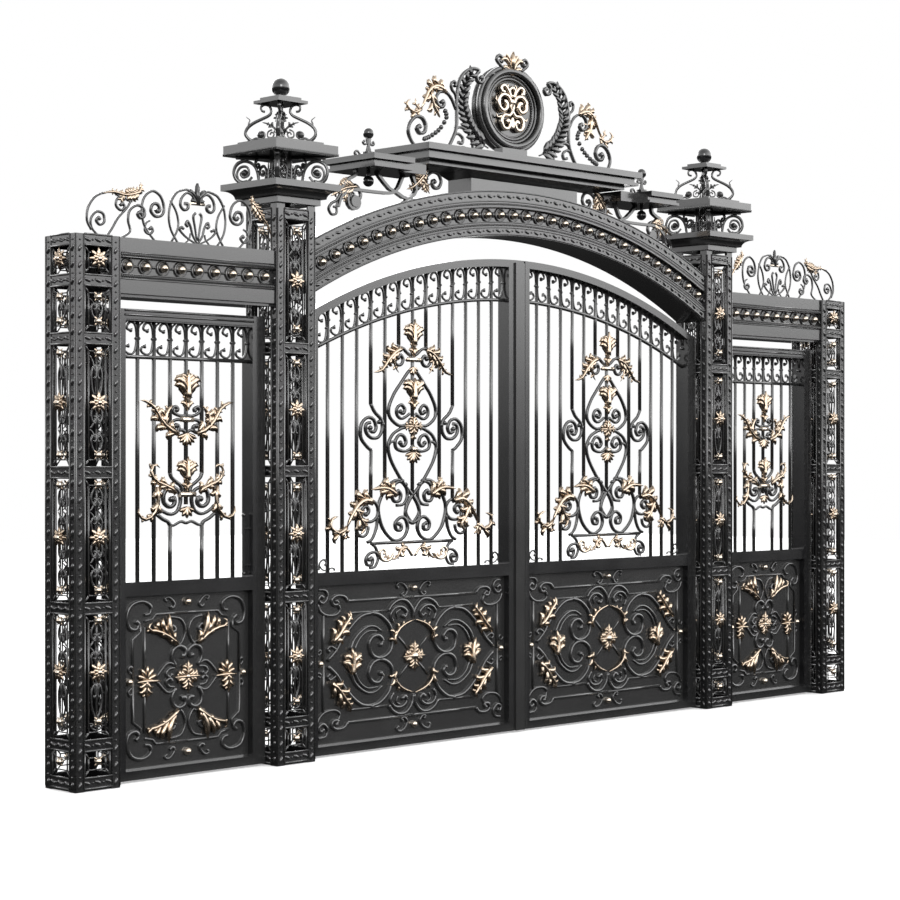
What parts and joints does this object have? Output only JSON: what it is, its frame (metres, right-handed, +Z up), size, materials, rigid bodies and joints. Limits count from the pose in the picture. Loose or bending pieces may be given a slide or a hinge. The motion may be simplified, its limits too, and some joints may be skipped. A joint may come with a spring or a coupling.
{
  "type": "wrought iron driveway gate",
  "caption": "Double-leaf scrollwork driveway gate with side wickets, openwork box posts, segmental arch, lintels, cornice and gilded oval crest.",
  "frame": {"origin": "middle of the foot of the left main pier, on the ground", "axes": "+X along the gate from left to right, +Y away from the viewer, through the gate, +Z up"},
  "size_m": [7.28, 0.514, 4.55],
  "materials": {
    "black_paint": "satin black paint over iron",
    "cast_black": "painted cast iron, semi-gloss black",
    "grey_paint": "flat faces in worn satin charcoal grey",
    "gilt": "pale champagne gilding",
    "pin_steel": "greased bright steel"
  },
  "bodies": {
    "root": {"outer_post_left": "black_paint", "outer_post_right": "black_paint", "main_pier_left": "black_paint", "main_pier_right": "black_paint", "pier_cap_left": "black_paint", "pier_cap_right": "black_paint", "cap_lantern_left": "cast_black", "cap_lantern_right": "cast_black", "cap_slab_left": "black_paint", "cap_slab_right": "black_paint", "finial_left": "cast_black", "finial_right": "cast_black", "lintel_left": "black_paint", "lintel_right": "black_paint", "lintel_crest_left": "cast_black", "lintel_crest_right": "cast_black", "arch": "black_paint", "frieze_block": "black_paint", "centre_cornice": "black_paint", "side_cornice_left": "black_paint", "side_cornice_right": "black_paint", "cartouche": "cast_black", "crest_scroll_left": "cast_black", "crest_scroll_right": "cast_black", "main_pins_left": "pin_steel", "main_pins_right": "pin_steel", "wicket_pins_left": "pin_steel", "wicket_pins_right": "pin_steel"},
    "main_leaf_left": {"main_frame_left": "black_paint", "main_grille_left": "cast_black", "main_panel_left": "black_paint", "astragal": "black_paint"},
    "main_leaf_right": {"main_frame_right": "black_paint", "main_grille_right": "cast_black", "main_panel_right": "black_paint"},
    "wicket_left": {"wicket_frame_left": "black_paint", "wicket_grille_left": "cast_black", "wicket_panel_left": "black_paint", "wicket_handle_left": "cast_black"},
    "wicket_right": {"wicket_frame_right": "black_paint", "wicket_grille_right": "cast_black", "wicket_panel_right": "black_paint", "wicket_handle_right": "cast_black"}
  },
  "joints": [
    {"name": "main_leaf_left_swing", "type": "hinge", "parent": "root", "child": "main_leaf_left", "pos_m": [0.184, 0.077, 0.345], "axis": [0, 0, 1], "range_deg": [0, 90]},
    {"name": "main_leaf_right_swing", "type": "hinge", "parent": "root", "child": "main_leaf_right", "pos_m": [3.916, 0.077, 0.345], "axis": [0, 0, 1], "range_deg": [-90, 0]},
    {"name": "wicket_left_swing", "type": "hinge", "parent": "root", "child": "wicket_left", "pos_m": [-1.256, 0.077, 0.345], "axis": [0, 0, 1], "range_deg": [0, 90]},
    {"name": "wicket_right_swing", "type": "hinge", "parent": "root", "child": "wicket_right", "pos_m": [5.356, 0.077, 0.345], "axis": [0, 0, 1], "range_deg": [-90, 0]}
  ]
}
